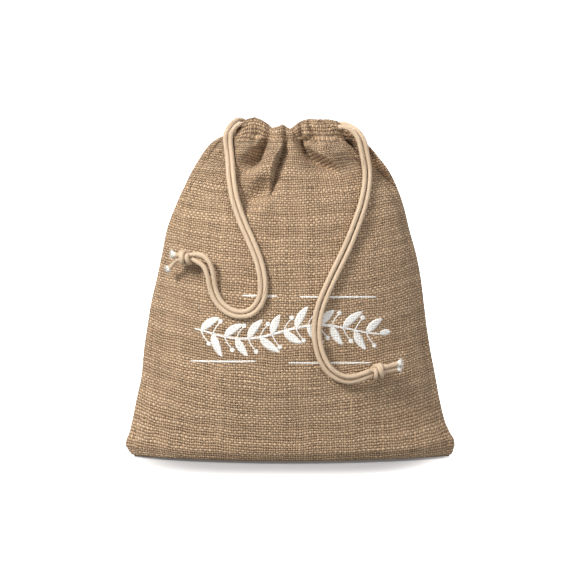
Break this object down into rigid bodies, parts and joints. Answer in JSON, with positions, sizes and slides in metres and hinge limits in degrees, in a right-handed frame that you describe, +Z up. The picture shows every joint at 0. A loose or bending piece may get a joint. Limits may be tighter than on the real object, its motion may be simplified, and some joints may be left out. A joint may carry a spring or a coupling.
{
  "type": "drawstring gift pouch",
  "caption": "Plain-weave jute gift pouch with a gathered top, stitched cord channels, knotted waxed drawcords at both sides and a printed leaf garland on the front.",
  "frame": {"origin": "middle of the base of the cloth pouch, on the surface it stands on", "axes": "+Z up through the gathered mouth, +X to the right when facing the print, the printed front faces -Y"},
  "size_m": [0.2518, 0.0883, 0.2582],
  "materials": {
    "cloth": "coarse plain-weave jute, natural tan",
    "hem_cloth": "coarse plain-weave jute, natural tan, gathered",
    "thread": "spun sewing thread",
    "ink": "matt white screen print on cloth",
    "cord": "twisted waxed cotton cord, soft sheen",
    "cord_tip": "frayed undyed cotton ends"
  },
  "bodies": {
    "root": {"front_panel": "cloth", "back_panel": "cloth", "front_channel_hem": "hem_cloth", "back_channel_hem": "hem_cloth", "front_hem_stitching": "thread", "back_hem_stitching": "thread", "left_slit_bartack": "thread", "right_slit_bartack": "thread", "right_seam_stitching": "thread", "left_seam_stitching": "thread", "base_seam_stitching": "thread", "right_seam_overlock": "thread", "left_seam_overlock": "thread", "base_seam_overlock": "thread", "front_print": "ink", "left_cord_loop": "cord", "right_cord_loop": "cord"},
    "left_feed": {"left_feed_front": "cord", "left_feed_back": "cord"},
    "left_tail": {"left_front_strand": "cord", "left_back_strand": "cord", "left_knot": "cord", "left_cord_tips": "cord_tip"},
    "right_feed": {"right_feed_front": "cord", "right_feed_back": "cord"},
    "right_tail": {"right_front_strand": "cord", "right_back_strand": "cord", "right_knot": "cord", "right_cord_tips": "cord_tip"}
  },
  "joints": [
    {"name": "left_cord_pull", "type": "slide", "parent": "root", "child": "left_feed", "axis": [-1, 0, 0], "range_m": [0, 0.022]},
    {"name": "left_cord_swing", "type": "hinge", "parent": "left_feed", "child": "left_tail", "pos_m": [-0.0455, -0.012, 0.245], "axis": [-1, 0, 0], "range_deg": [0, 60]},
    {"name": "right_cord_pull", "type": "slide", "parent": "root", "child": "right_feed", "axis": [1, 0, 0], "range_m": [0, 0.022]},
    {"name": "right_cord_swing", "type": "hinge", "parent": "right_feed", "child": "right_tail", "pos_m": [0.0563, -0.012, 0.24], "axis": [-1, 0, 0], "range_deg": [0, 60]}
  ]
}
